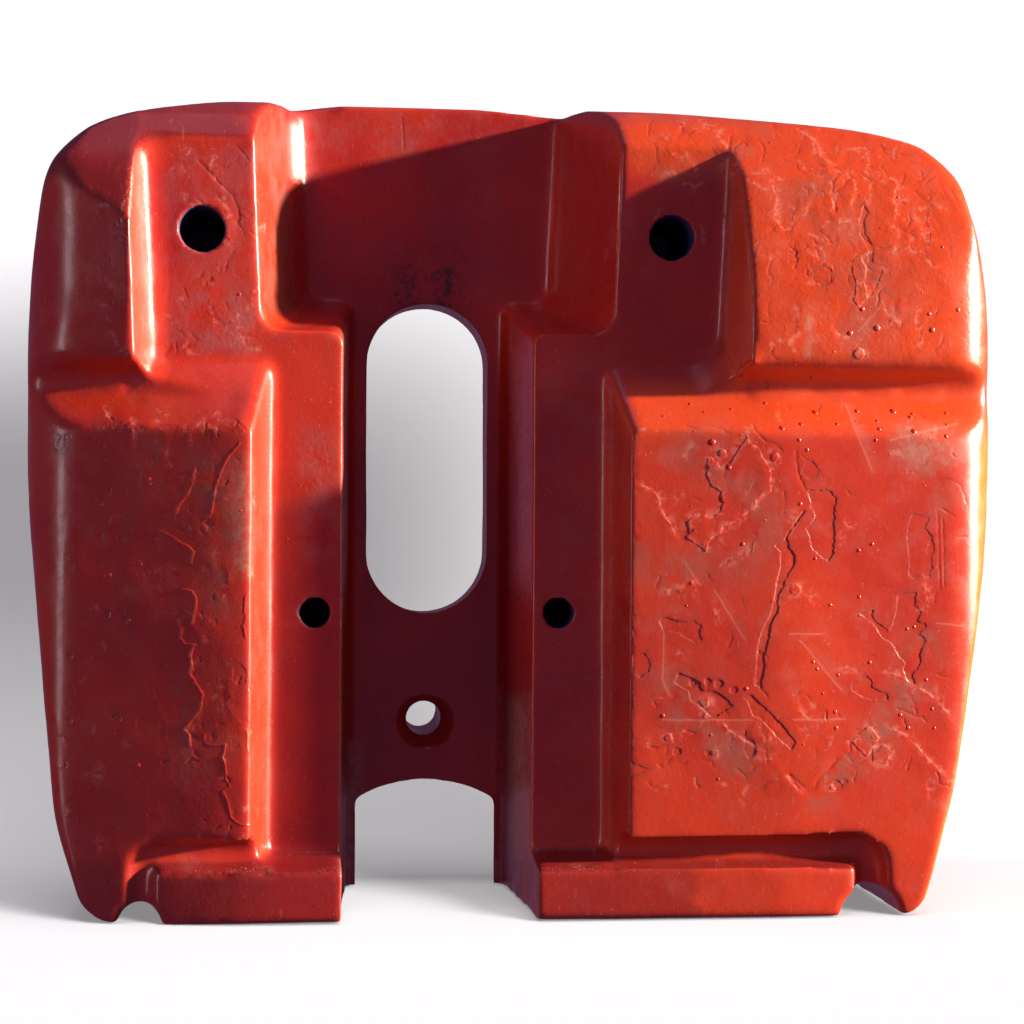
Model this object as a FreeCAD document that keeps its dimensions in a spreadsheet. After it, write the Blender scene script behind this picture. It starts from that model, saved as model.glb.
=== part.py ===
import FreeCAD, Part
import math
import os
import Sketcher

doc = FreeCAD.newDocument("ballast_weight")

# Sizes in millimetres. X runs across the weight, Y from the mounting side (minus) to the
# rear, Z up from the base. Widths called half are measured from the bolt axis.
sheet = doc.addObject("Spreadsheet::Sheet", "sizes")
values = [
    ("body_half_width", 435.0), ("body_height", 750.0),
    ("front_proud", 55.0), ("recess_deep", 150.0), ("web_wall", 70.0),
    ("axis_x", -70.0),
    ("pad_half_crest", 270.0), ("pad_draft", 17.0), ("pad_corner", 38.0),
    ("strip_half_crest", 165.0), ("strip_draft", 15.0),
    ("shoulder_low", 433.0), ("shoulder_high", 494.0),
    ("foot_height", 47.0), ("foot_rise", 8.0), ("left_drop", 27.0),
    ("valley_deep", 38.0), ("valley_top", 492.0),
    ("recess_half_crest", 158.0), ("recess_half_foot", 116.0),
    ("ledge_crest", 520.0), ("ledge_foot", 560.0), ("recess_corner", 20.0),
    ("channel_half_crest", 85.0), ("channel_half_foot", 74.0),
    ("arch_spring", 84.0), ("arch_rise", 18.0),
    ("slot_width", 115.0), ("slot_low", 263.5), ("slot_length", 295.5), ("slot_draft", 1.5),
    ("gap_draft", 6.0),
    ("seat_height", 158.0), ("seat_bore", 32.0), ("seat_mouth", 54.0), ("seat_deep", 14.0),
    ("bore_rise", 10.0),
    ("upper_bolt_height", 609.0), ("upper_bolt_pitch", 422.0), ("upper_bolt_bore", 40.0),
    ("upper_bolt_deep", 110.0),
    ("lower_bolt_height", 269.0), ("lower_bolt_pitch", 219.0), ("lower_bolt_bore", 27.0),
    ("lower_bolt_deep", 80.0),
    ("groove_height", 60.0), ("groove_radius", 14.0), ("groove_turn", 18.0),
    ("left_notch_x", -330.0), ("left_notch_radius", 19.0),
    ("right_notch_x", 316.0), ("right_notch_radius", 27.0),
    ("brow_drop", 86.0), ("front_slope", 195.0), ("pad_lean", 16.0), ("pocket_lean", 12.0),
    ("left_set_back", 28.0), ("right_set_back", 10.0), ("rear_crown", 62.0),
    ("foot_round", 8.0), ("floor_round", 11.0),
]
for row, (alias, number) in enumerate(values, start=1):
    sheet.set("A%d" % row, alias)
    sheet.set("B%d" % row, "%g" % number)
    sheet.setAlias("B%d" % row, alias)
doc.recompute()


def size(alias):
    return float(sheet.get(alias))


# Levels along Y, from the proud front faces to the crowned rear.
FRONT = "-(sizes.front_proud + sizes.recess_deep + sizes.web_wall) / 2"
MOUNT = FRONT + " + sizes.front_proud"
WEB = MOUNT + " + sizes.recess_deep"
REAR = WEB + " + sizes.web_wall"


def number_of(expression):
    text = str(expression).replace("sizes.", "")
    names = {alias: size(alias) for alias, number in values}
    for alias in sorted(names, key=len, reverse=True):
        text = text.replace(alias, repr(names[alias]))
    return FreeCAD.Units.Quantity(text).Value


body = doc.addObject("PartDesign::Body", "ballast_weight")
body.Label = "ballast_weight"
doc.recompute()


def origin_plane(role):
    return [item for item in body.Origin.OriginFeatures if item.Role == role][0]


def new_sketch(name, role, level):
    """A sketch on an origin plane, moved along the plane's normal."""
    sketch = body.newObject("Sketcher::SketchObject", name)
    sketch.AttachmentSupport = [(origin_plane(role), "")]
    sketch.MapMode = "FlatFace"
    sketch.setExpression("AttachmentOffset.Base.z", level)
    doc.recompute()
    return sketch


def rounded_profile(sketch, corners, closed=True):
    """A profile through named corners, each with its own radius (None is sharp)."""
    spots = [FreeCAD.Vector(number_of(a), number_of(b), 0) for a, b, c in corners]
    radii = [number_of(c) if c is not None else 0.0 for a, b, c in corners]
    count = len(corners)
    trims = []
    for i in range(count):
        before, here, after = spots[i - 1], spots[i], spots[(i + 1) % count]
        if not radii[i]:
            trims.append((here, None, here))
            continue
        back, ahead = (before - here).normalize(), (after - here).normalize()
        opening = back.getAngle(ahead)
        run = radii[i] / math.tan(opening / 2.0)
        middle = here + (back + ahead).normalize() * (radii[i] / math.sin(opening / 2.0))
        trims.append((here + back * run, middle, here + ahead * run))
    lines, arcs, marks = [], [], []
    for i in range(count if closed else count - 1):
        line = Part.LineSegment(trims[i][2], trims[(i + 1) % count][0])
        lines.append(sketch.addGeometry(line, False))
    for i in range(count):
        if trims[i][1] is None:
            arcs.append(None)
            marks.append(None)
            continue
        start, middle, end = trims[i]
        angles = [math.atan2(p.y - middle.y, p.x - middle.x) for p in (start, end)]
        if (angles[1] - angles[0]) % (2 * math.pi) > math.pi:
            angles.reverse()
        circle = Part.Circle(middle, FreeCAD.Vector(0, 0, 1), radii[i])
        arcs.append(sketch.addGeometry(Part.ArcOfCircle(circle, *angles), False))
        marks.append(sketch.addGeometry(Part.Point(spots[i]), True))
    rules, bound, known = [], [], len(sketch.Constraints)
    for i in range(count):
        a, b, c = corners[i]
        before, after = lines[i - 1], lines[i % len(lines)]
        if not closed and i in (0, count - 1):
            spot = (after, 1) if i == 0 else (before, 2)
        elif arcs[i] is None:
            rules.append(Sketcher.Constraint("Coincident", before, 2, after, 1))
            spot = (after, 1)
        else:
            arc = sketch.Geometry[arcs[i]]
            first = 1 if arc.StartPoint.distanceToPoint(trims[i][0]) < 1e-6 else 2
            rules.append(Sketcher.Constraint("Tangent", before, 2, arcs[i], first))
            rules.append(Sketcher.Constraint("Tangent", after, 1, arcs[i], 3 - first))
            rules.append(Sketcher.Constraint("PointOnObject", marks[i], 1, before))
            rules.append(Sketcher.Constraint("PointOnObject", marks[i], 1, after))
            bound.append((len(rules), str(c)))
            rules.append(Sketcher.Constraint("Radius", arcs[i], radii[i]))
            spot = (marks[i], 1)
        bound.append((len(rules), str(a)))
        rules.append(Sketcher.Constraint("DistanceX", -1, 1, spot[0], spot[1], spots[i].x))
        bound.append((len(rules), str(b)))
        rules.append(Sketcher.Constraint("DistanceY", -1, 1, spot[0], spot[1], spots[i].y))
    sketch.addConstraint(rules)
    for index, expression in bound:
        sketch.setExpression("Constraints[%d]" % (known + index), expression)


def add(kind, name, profile, **settings):
    """A feature of the body, with its plain settings and its bound ones."""
    feature = body.newObject("PartDesign::" + kind, name)
    feature.Profile = profile
    for key, setting in settings.items():
        if key.startswith("bind_"):
            feature.setExpression(key[5:], setting)
        else:
            setattr(feature, key, setting)
    doc.recompute()
    volume = body.Shape.Volume
    print("%-18s %s %12.0f" % (name, feature.Shape.isValid(), volume))
    return feature


def soften(name, radius, chosen):
    """Round the edges of the body's last feature that the test picks by three of their points."""
    base = body.Tip
    names = []
    for n, edge in enumerate(base.Shape.Edges, start=1):
        first, last = edge.FirstParameter, edge.LastParameter
        spots = [edge.valueAt(first + (last - first) * share) for share in (0.02, 0.5, 0.98)]
        if chosen(spots):
            names.append("Edge%d" % n)
    feature = body.newObject("PartDesign::Fillet", name)
    feature.Base = (base, names)
    feature.setExpression("Radius", radius)
    doc.recompute()
    print("%-18s %s %12.0f edges %d" % (name, feature.Shape.isValid(), body.Shape.Volume, len(names)))
    return feature


def on_level(level, low, high):
    """A test for edges that lie flat on a level, clear of the base and of the top."""
    y = number_of(level)
    return lambda spots: all(abs(p.y - y) < 0.01 for p in spots) and (
        low < min(p.z for p in spots)) and (min(p.z for p in spots) < high)


def between(crest, foot, share):
    """A wall's position at a share of the way from its foot (0) to its crest (1)."""
    return "(sizes.%s + (sizes.%s - sizes.%s) * %s)" % (foot, crest, foot, share)


wide, tall = "sizes.body_half_width", "sizes.body_height"
AXIS = "sizes.axis_x"
ABOVE = tall + " + 60"

# Front view of the whole casting: wider above the middle, drawn in towards the base.
outline = new_sketch("outline", "XZ_Plane", "-(" + FRONT + ")")
rounded_profile(outline, [
    ("-" + wide + " + 58", "0", "38"),
    ("-" + wide + " + 29", "84", "200"),
    ("-" + wide, "380", "900"),
    ("-" + wide, tall + " - 190", "500"),
    ("-" + wide + " + 20", tall + " - 59", "95"),
    ("-" + wide + " + 90", tall + " - 33", "150"),
    ("-" + wide + " + 180", tall + " - 14", "300"),
    ("-" + wide + " + 285", tall + " + 2", "300"),
    (wide + " - 475", tall + " + 2", "600"),
    (wide + " - 112", tall + " - 35", "250"),
    (wide + " - 35", tall + " - 57", "72"),
    (wide, tall + " - 215", "400"),
    (wide, "360", "600"),
    (wide + " - 40", "105", "260"),
    (wide + " - 72", "0", "28"),
])
add("Pad", "casting_block", outline, Reversed=True,
    bind_Length="sizes.front_proud + sizes.recess_deep + sizes.web_wall")

# Side view: a long round brow over the mounting side and a crowned rear. What lies between
# the outer rectangle and this profile is cut away.
side = new_sketch("side_profile", "YZ_Plane", "0")
rounded_profile(side, [
    (FRONT, "0", "6"),
    (REAR + " - 24", "0", "40"),
    (REAR, "240", "500"),
    (REAR, tall + " - 190", "500"),
    (REAR + " - 19", tall, "44"),
    (WEB + " - 6", tall, "150"),
    (MOUNT + " + 55", tall + " - 0.2 * sizes.brow_drop", "100"),
    (MOUNT + " + 20", tall + " - 0.39 * sizes.brow_drop", "50"),
    (FRONT + " + 0.58 * sizes.front_proud", tall + " - sizes.brow_drop", "60"),
    (FRONT, tall + " - sizes.front_slope", "300"),
])
rounded_profile(side, [
    (FRONT + " - 60", "-60", None), (REAR + " + 60", "-60", None),
    (REAR + " + 60", ABOVE, None), (FRONT + " - 60", ABOVE, None),
])
add("Pocket", "side_rounding", side, Type="ThroughAll", Midplane=True)

# Plan view: the front slopes back towards each side, and the rear is crowned.
plan = new_sketch("plan_profile", "XY_Plane", "0")
rounded_profile(plan, [
    (AXIS + " - 175", FRONT, "400"),
    (AXIS + " + 305", FRONT, "500"),
    (wide + " - 30", FRONT + " + sizes.right_set_back", "45"),
    (wide, FRONT + " + 34", "38"),
    (wide, REAR + " - sizes.rear_crown - 48", "85"),
    (wide + " - 60", REAR + " - sizes.rear_crown + 4", "130"),
    (wide + " - 285", REAR, "900"),
    ("-" + wide + " + 185", REAR, "500"),
    ("-" + wide + " + 60", REAR + " - sizes.rear_crown + 4", "130"),
    ("-" + wide, REAR + " - sizes.rear_crown - 48", "85"),
    ("-" + wide, FRONT + " + 56", "50"),
    ("-" + wide + " + 33", FRONT + " + sizes.left_set_back", "45"),
])
rounded_profile(plan, [
    ("-" + wide + " - 60", FRONT + " - 60", None), (wide + " + 60", FRONT + " - 60", None),
    (wide + " + 60", REAR + " + 60", None), ("-" + wide + " - 60", REAR + " + 60", None),
])
add("Pocket", "plan_rounding", plan, Type="ThroughAll", Midplane=True)


# The mounting face lies behind the proud fronts: two pads above and two strips below.
def mounting_section(name, level, share):
    pad = "(sizes.pad_half_crest - sizes.pad_draft * (1 - %s))" % share
    strip = "(sizes.strip_half_crest - sizes.strip_draft * (1 - %s))" % share
    shoulder = between("shoulder_low", "shoulder_high", share)
    flange = "(sizes.foot_height + sizes.foot_rise * (1 - %s))" % share
    left = shoulder + " - sizes.left_drop * %s" % share
    sketch = new_sketch(name, "XZ_Plane", "-(" + level + ")")
    rounded_profile(sketch, [
        (AXIS + " - " + pad + " - sizes.pad_lean", ABOVE, None),
        (AXIS + " - " + pad, left, "15"),
        (AXIS + " - " + strip, shoulder, "9"),
        (AXIS + " - " + strip, flange, "11"),
        (AXIS + " + " + strip, flange, "11"),
        (AXIS + " + " + strip, shoulder, "9"),
        (AXIS + " + " + pad, shoulder, "sizes.pad_corner"),
        (AXIS + " + " + pad + " + sizes.pad_lean", ABOVE, None),
    ])
    return sketch


mounting_foot = mounting_section("mounting_foot", MOUNT, "0")
mounting_crest = mounting_section("mounting_crest", FRONT + " - sizes.front_proud / 10", "1.1")
add("SubtractiveLoft", "mounting_face", mounting_crest, Sections=[mounting_foot], Ruled=True)

soften("mounting_round", "sizes.foot_round", on_level(MOUNT, 5, number_of(tall) - 150))

# The valley between the upper fronts and the shoulders of the lower ones runs along the whole
# width, at one depth below the sloped fronts. Its lower flank is the shoulder's own slope.
SLOPE = "((sizes.shoulder_high - sizes.shoulder_low) / sizes.front_proud)"
LEFT_BACK = "sizes.left_set_back * (%s + 5 + %s - 175) / (%s - 33 + %s - 175)" % (wide, AXIS, wide, AXIS)
RIGHT_BACK = "sizes.right_set_back * (%s - 300 - %s) / (%s - 335 - %s)" % (wide, AXIS, wide, AXIS)


def valley_section(name, across, back):
    sketch = new_sketch(name, "YZ_Plane", across)
    face = FRONT + " + " + back
    rounded_profile(sketch, [
        (face + " - 10", "sizes.shoulder_low - 10 * " + SLOPE, None),
        (face + " + sizes.valley_deep", "sizes.shoulder_low + sizes.valley_deep * " + SLOPE, "14"),
        (face + " - 10", "sizes.valley_top + 4", None),
    ])
    return sketch


valley_left = valley_section("valley_left", "-" + wide + " - 5", LEFT_BACK)
valley_bends = [valley_section("valley_left_bend", AXIS + " - 175", "0"),
                valley_section("valley_right_bend", AXIS + " + 305", "0"),
                valley_section("valley_right", wide + " + 5", RIGHT_BACK)]
add("SubtractiveLoft", "valley", valley_left, Sections=valley_bends, Ruled=True)


# The deep recess is a T: a wide pocket above, open at the top, and a channel down to the legs.
def recess_section(name, level, share):
    pocket = between("recess_half_crest", "recess_half_foot", share)
    channel = between("channel_half_crest", "channel_half_foot", share)
    ledge = between("ledge_crest", "ledge_foot", share)
    sketch = new_sketch(name, "XZ_Plane", "-(" + level + ")")
    rounded_profile(sketch, [
        (AXIS + " - " + pocket + " - sizes.pocket_lean", ABOVE, None),
        (AXIS + " - " + pocket, ledge, "sizes.recess_corner"),
        (AXIS + " - " + channel, ledge, "9"),
        (AXIS + " - " + channel, "-40", None),
        (AXIS + " + " + channel, "-40", None),
        (AXIS + " + " + channel, ledge, "9"),
        (AXIS + " + " + pocket, ledge, "sizes.recess_corner"),
        (AXIS + " + " + pocket + " + sizes.pocket_lean", ABOVE, None),
    ])
    return sketch


recess_crest = recess_section("recess_crest", MOUNT, "1")
recess_foot = recess_section("recess_foot", WEB, "0")
add("SubtractiveLoft", "recess", recess_crest, Sections=[recess_foot], Ruled=True)

soften("recess_round", "sizes.floor_round", on_level(WEB, 5, number_of(tall) - 50))


# The gap between the feet in front of the mounting face, as wide as the channel there.
toe = new_sketch("toe_gap_profile", "XZ_Plane", "-(" + FRONT + " - 5)")
rounded_profile(toe, [
    (AXIS + " - sizes.channel_half_crest", "-40", None),
    (AXIS + " + sizes.channel_half_crest", "-40", None),
    (AXIS + " + sizes.channel_half_crest", "sizes.foot_height + 20", None),
    (AXIS + " - sizes.channel_half_crest", "sizes.foot_height + 20", None),
])
add("Pocket", "toe_gap", toe, bind_Length="sizes.front_proud + 5")

# Behind the web's face the gap between the legs ends in a low arch and widens to the rear.
arch = new_sketch("arch_profile", "XZ_Plane", "-(" + WEB + ")")
rounded_profile(arch, [
    (AXIS + " - sizes.channel_half_foot", "-40", None),
    (AXIS + " + sizes.channel_half_foot", "-40", None),
    (AXIS + " + sizes.channel_half_foot", "sizes.arch_spring - 6", "9"),
    (AXIS, "sizes.arch_spring + 2.1 * sizes.arch_rise", "130"),
    (AXIS + " - sizes.channel_half_foot", "sizes.arch_spring - 6", "9"),
])
add("Pocket", "leg_gap", arch, bind_Length="sizes.web_wall + 5", bind_TaperAngle="sizes.gap_draft")


def slot_profile(sketch, across, low, width, length):
    """A slot with full round ends, upright about its middle line."""
    x, z, half = number_of(across), number_of(low), number_of(width) / 2
    top = z + number_of(length) - half
    up = FreeCAD.Vector(0, 0, 1)
    ends = [Part.ArcOfCircle(Part.Circle(FreeCAD.Vector(x, top, 0), up, half), 0, math.pi),
            Part.ArcOfCircle(Part.Circle(FreeCAD.Vector(x, z + half, 0), up, half), math.pi,
                             2 * math.pi)]
    sides = [Part.LineSegment(FreeCAD.Vector(x - half, top, 0), FreeCAD.Vector(x - half, z + half, 0)),
             Part.LineSegment(FreeCAD.Vector(x + half, z + half, 0), FreeCAD.Vector(x + half, top, 0))]
    sketch.addGeometry(ends + sides, False)
    sketch.addConstraint([
        Sketcher.Constraint("Tangent", 0, 2, 2, 1), Sketcher.Constraint("Tangent", 2, 2, 1, 1),
        Sketcher.Constraint("Tangent", 1, 2, 3, 1), Sketcher.Constraint("Tangent", 3, 2, 0, 1),
        Sketcher.Constraint("Vertical", 2),
        Sketcher.Constraint("DistanceX", -1, 1, 0, 3, x), Sketcher.Constraint("DistanceY", -1, 1, 0, 3, top),
        Sketcher.Constraint("DistanceY", -1, 1, 1, 3, z + half), Sketcher.Constraint("Radius", 0, half),
    ])
    for index, expression in ((5, across), (6, "%s + %s - %s / 2" % (low, length, width)),
                              (7, "%s + %s / 2" % (low, width)), (8, width + " / 2")):
        sketch.setExpression("Constraints[%d]" % index, expression)


def circles(sketch, spots, across):
    """Circles of one diameter at named places."""
    for n, (x, z) in enumerate(spots):
        spot = FreeCAD.Vector(number_of(x), number_of(z), 0)
        circle = Part.Circle(spot, FreeCAD.Vector(0, 0, 1), number_of(across) / 2)
        index = sketch.addGeometry(circle, False)
        sketch.addConstraint([Sketcher.Constraint("DistanceX", -1, 1, index, 3, spot.x),
                              Sketcher.Constraint("DistanceY", -1, 1, index, 3, spot.y),
                              Sketcher.Constraint("Diameter", index, number_of(across))])
        for step, expression in enumerate((x, z, across)):
            sketch.setExpression("Constraints[%d]" % (3 * n + step), expression)


slot = new_sketch("slot_profile", "XZ_Plane", "-(" + WEB + ")")
slot_profile(slot, AXIS, "sizes.slot_low", "sizes.slot_width", "sizes.slot_length")
add("Pocket", "slot", slot, bind_Length="sizes.web_wall + 5", bind_TaperAngle="sizes.slot_draft")

# A dished seat in the web and a bore through it that rises towards the rear.
seat = new_sketch("seat_profile", "XZ_Plane", "-(" + WEB + ")")
circles(seat, [(AXIS, "sizes.seat_height")], "sizes.seat_mouth")
add("Pocket", "seat", seat, bind_Length="sizes.seat_deep",
    bind_TaperAngle="-atan((sizes.seat_mouth - sizes.seat_bore - 2) / 2 / sizes.seat_deep) / 1deg")
bore_front = new_sketch("bore_front", "XZ_Plane", "-(" + WEB + ")")
circles(bore_front, [(AXIS, "sizes.seat_height")], "sizes.seat_bore")
bore_rear = new_sketch("bore_rear", "XZ_Plane", "-(" + REAR + " + 5)")
circles(bore_rear, [(AXIS + " - sizes.bore_rise / 2.5", "sizes.seat_height + sizes.bore_rise")], "sizes.seat_bore")
add("SubtractiveLoft", "bore", bore_front, Sections=[bore_rear], Ruled=True)

# Blind bolt holes in the pads and in the strips.
for place in ("upper", "lower"):
    pitch = "sizes.%s_bolt_pitch / 2" % place
    height = "sizes.%s_bolt_height" % place
    holes = new_sketch(place + "_bolt_profile", "XZ_Plane", "-(" + MOUNT + ")")
    circles(holes, [(AXIS + " - " + pitch, height), (AXIS + " + " + pitch, height)],
            "sizes.%s_bolt_bore" % place)
    add("Pocket", place + "_bolt_holes", holes, bind_Length="sizes.%s_bolt_deep" % place)

# A round groove parts each lower front from the foot below it and turns down to a notch.
for side_name, start, turn in (("left", AXIS + " - sizes.channel_half_crest", "sizes.left_notch_x"),
                               ("right", AXIS + " + sizes.channel_half_crest", "sizes.right_notch_x")):
    start = AXIS + (" - " if side_name == "left" else " + ") + "(sizes.strip_half_crest - sizes.strip_draft)"
    path = new_sketch(side_name + "_groove_path", "XZ_Plane", "-(" + FRONT + " + 9)")
    rounded_profile(path, [
        (start, "sizes.groove_height", None),
        (turn, "sizes.groove_height", "sizes.groove_turn"),
        (turn, "-10", None),
    ], closed=False)
    ring = new_sketch(side_name + "_groove_ring", "YZ_Plane", start)
    circles(ring, [(FRONT + " + 9", "sizes.groove_height")], "2 * sizes.groove_radius")
    add("SubtractivePipe", side_name + "_groove", ring, Spine=(path, []))
    notch = new_sketch(side_name + "_notch_profile", "XZ_Plane", "-(" + FRONT + ")")
    circles(notch, [(turn, "0")], "2 * sizes.%s_notch_radius" % side_name)
    add("Pocket", side_name + "_notch", notch, Type="ThroughAll")

for item in doc.Objects:
    if "Invalid" in item.State or "Error" in item.State:
        print("state", item.Name, item.State)
if body.Shape.isNull() or not body.Shape.isValid():
    raise RuntimeError("the casting's shape is not valid")
print(len(body.Shape.Solids), body.Shape.BoundBox, body.Shape.Solids[0].CenterOfMass)
os.makedirs("parts", exist_ok=True)
body.Shape.exportStep("parts/ballast_weight.step")
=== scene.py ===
import math

import bmesh
import bpy
import numpy as np
from mathutils import Matrix, Vector


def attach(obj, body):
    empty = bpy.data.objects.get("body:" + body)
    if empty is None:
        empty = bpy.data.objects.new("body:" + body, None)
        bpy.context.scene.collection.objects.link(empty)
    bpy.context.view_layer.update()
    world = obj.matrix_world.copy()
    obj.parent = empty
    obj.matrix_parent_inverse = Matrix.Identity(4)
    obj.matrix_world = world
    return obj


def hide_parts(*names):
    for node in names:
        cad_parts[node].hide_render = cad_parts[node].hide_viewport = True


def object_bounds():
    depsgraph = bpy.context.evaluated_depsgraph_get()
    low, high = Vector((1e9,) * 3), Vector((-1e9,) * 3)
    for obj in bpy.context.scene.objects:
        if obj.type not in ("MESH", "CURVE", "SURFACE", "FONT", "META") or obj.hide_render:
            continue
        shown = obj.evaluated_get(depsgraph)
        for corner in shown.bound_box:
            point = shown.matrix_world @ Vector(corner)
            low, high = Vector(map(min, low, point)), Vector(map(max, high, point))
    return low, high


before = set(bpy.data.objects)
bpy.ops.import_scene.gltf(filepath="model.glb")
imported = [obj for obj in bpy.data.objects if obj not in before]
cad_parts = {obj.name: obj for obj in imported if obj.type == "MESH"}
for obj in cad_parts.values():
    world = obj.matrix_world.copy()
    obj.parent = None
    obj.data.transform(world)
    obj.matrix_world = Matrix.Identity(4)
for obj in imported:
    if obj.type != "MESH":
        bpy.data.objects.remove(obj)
cadLow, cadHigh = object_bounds()
rng = np.random.default_rng(41)


# one socket of a node tree, with arithmetic that adds its own nodes
class Signal:
    def __init__(self, tree, source=None):
        self.tree, self.source = tree, source

    def node(self, kind, settings=None, sockets=None, output=0):
        made = self.tree.nodes.new(kind)
        for name, setting in (settings or {}).items():
            setattr(made, name, setting)
        for name, value in (sockets or {}).items():
            if isinstance(value, Signal):
                self.tree.links.new(value.source, made.inputs[name])
            else:
                made.inputs[name].default_value = value
        if not made.outputs:
            return made
        return Signal(self.tree, made.outputs[output])

    def math(self, operation, a, b=0.0, clamp=False):
        return self.node("ShaderNodeMath", {"operation": operation, "use_clamp": clamp}, {0: a, 1: b})

    def __add__(self, other):
        return self.math("ADD", self, other)

    def __radd__(self, other):
        return self.math("ADD", other, self)

    def __sub__(self, other):
        return self.math("SUBTRACT", self, other)

    def __rsub__(self, other):
        return self.math("SUBTRACT", other, self)

    def __mul__(self, other):
        return self.math("MULTIPLY", self, other)

    def __rmul__(self, other):
        return self.math("MULTIPLY", other, self)

    def __truediv__(self, other):
        return self.math("DIVIDE", self, other)

    def __rtruediv__(self, other):
        return self.math("DIVIDE", other, self)

    def __pow__(self, other):
        return self.math("POWER", self, other)

    def size(self):
        return self.math("ABSOLUTE", self)

    def clamp(self):
        return self.math("ADD", self, 0.0, clamp=True)

    def rise(self, low, high):  # smooth step from 0 at low to 1 at high, or the other way round
        if low > high:
            return 1.0 - self.rise(high, low)
        return self.node("ShaderNodeMapRange", {"interpolation_type": "SMOOTHSTEP"},
                         {"Value": self, "From Min": low, "From Max": high})

    def tint(self, first, second):  # a colour between two, by this signal
        fill = [c if isinstance(c, Signal) else (*c, 1) for c in (first, second)]
        return self.node("ShaderNodeMix", {"data_type": "RGBA", "clamp_factor": True},
                         {0: self, 6: fill[0], 7: fill[1]}, output=2)


# the camera stands where the photograph was taken
camera = {"place": Vector((-0.2185, -2.0825, 0.354)), "turn": 6.138, "tilt": -0.160, "roll": 0.330,
          "lens": 78.68, "frame": 1024}


def cameraAxes():
    turn, tilt, roll = (math.radians(camera[k]) for k in ("turn", "tilt", "roll"))
    ahead = Vector((math.sin(turn) * math.cos(tilt), math.cos(turn) * math.cos(tilt), -math.sin(tilt)))
    side = Vector((math.cos(turn), -math.sin(turn), 0))
    up = side.cross(ahead)
    return side * math.cos(roll) + up * math.sin(roll), up * math.cos(roll) - side * math.sin(roll), ahead


def makeCamera():
    side, up, ahead = cameraAxes()
    data = bpy.data.cameras.new("photoCamera")
    data.lens, data.sensor_width = camera["lens"], 36
    data.clip_start, data.clip_end = 0.05, 60
    made = bpy.data.objects.new("photoCamera", data)
    turned = Matrix((side, up, -ahead)).transposed().to_4x4()
    made.matrix_world = Matrix.Translation(camera["place"]) @ turned
    bpy.context.scene.collection.objects.link(made)
    bpy.context.scene.camera = made


def seenAt(spots):  # where the camera sees points, in steps of a 1024 wide frame
    side, up, ahead = (np.array(axis) for axis in cameraAxes())
    away = spots - np.array(camera["place"])
    reach = camera["lens"] / 36 * camera["frame"] / (away @ ahead)
    half = camera["frame"] / 2
    return np.stack([half + reach * (away @ side), half - reach * (away @ up)], 1)


def rayThrough(across, down):
    side, up, ahead = cameraAxes()
    half, reach = camera["frame"] / 2, camera["lens"] / 36 * camera["frame"]
    return (ahead + side * ((across - half) / reach) + up * ((half - down) / reach)).normalized()


makeCamera()

# plain studio: a low warm key from the right, soft boxes above and at the left, a pale backdrop
studio = {"keyFrom": (0.958, -0.168, 0.225), "keyStrength": 12.5, "keySoft": 2.6, "keyColour": (1.0, 0.90, 0.70),
          "edgePlace": (1.32, -0.30, 0.60), "edgeSize": (0.50, 0.75), "edgePower": 14.0,
          "skyColour": (0.74, 0.42, 1.0), "skyStrength": 0.150, "mirrored": (0.14, 0.075, 0.14),
          "topPlace": (-0.35, -0.10, 2.4), "topSize": (1.3, 0.6), "topPower": 1.3, "topColour": (0.70, 0.68, 1.0),
          "stripPlace": (-2.3, -1.45, 0.42), "stripSize": (0.50, 1.7), "stripPower": 11.0,
          "stageFrom": (0.62, -0.70, 0.36), "stageStrength": 8.8, "stageSoft": 26.0,
          "floorFrom": (0.10, -0.20, 1.0), "floorStrength": 3.1, "floorSoft": 40.0, "backdrop": (1.0, 1.0, 1.0),
          "stageGlow": 0.24, "stageColour": (0.36, 0.36, 0.36), "wallAt": 0.46, "cove": 0.28, "half": 5.0}


def backdrop():  # a floor that curves up into a wall behind
    wall, cove, half = studio["wallAt"], studio["cove"], studio["half"]
    line = [(-half, 0.0), (wall - cove, 0.0)]
    line += [(wall - cove + cove * math.sin(a), cove - cove * math.cos(a))
             for a in np.linspace(0, math.pi / 2, 25)[1:]]
    line += [(wall, half)]
    corners = [(x, y, z) for y, z in line for x in (-half, half)]
    faces = [(2 * i, 2 * i + 1, 2 * i + 3, 2 * i + 2) for i in range(len(line) - 1)]
    mesh = bpy.data.meshes.new("floor")
    mesh.from_pydata(corners, [], faces)
    mesh.shade_smooth()
    floor = bpy.data.objects.new("floor", mesh)
    bpy.context.scene.collection.objects.link(floor)
    floor.visible_diffuse = floor.visible_glossy = False
    return floor


def lamp(name, kind, place, power, colour, pieces, size=None, soft=None):
    data = bpy.data.lights.new(name, kind)
    data.energy, data.color = power, colour
    made = bpy.data.objects.new(name, data)
    place = Vector(place)
    if kind == "SUN":
        data.angle = math.radians(soft)
        made.rotation_euler = place.to_track_quat("Z", "Y").to_euler()
    else:
        data.shape, (data.size, data.size_y) = "RECTANGLE", size
        made.location = place
        made.rotation_euler = (place - Vector((-0.1, 0, 0.42))).to_track_quat("Z", "Y").to_euler()
    lit = bpy.data.collections.new(name + "Lit")
    for piece in pieces:
        lit.objects.link(piece)
    made.light_linking.receiver_collection = lit
    bpy.context.scene.collection.objects.link(made)


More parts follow.
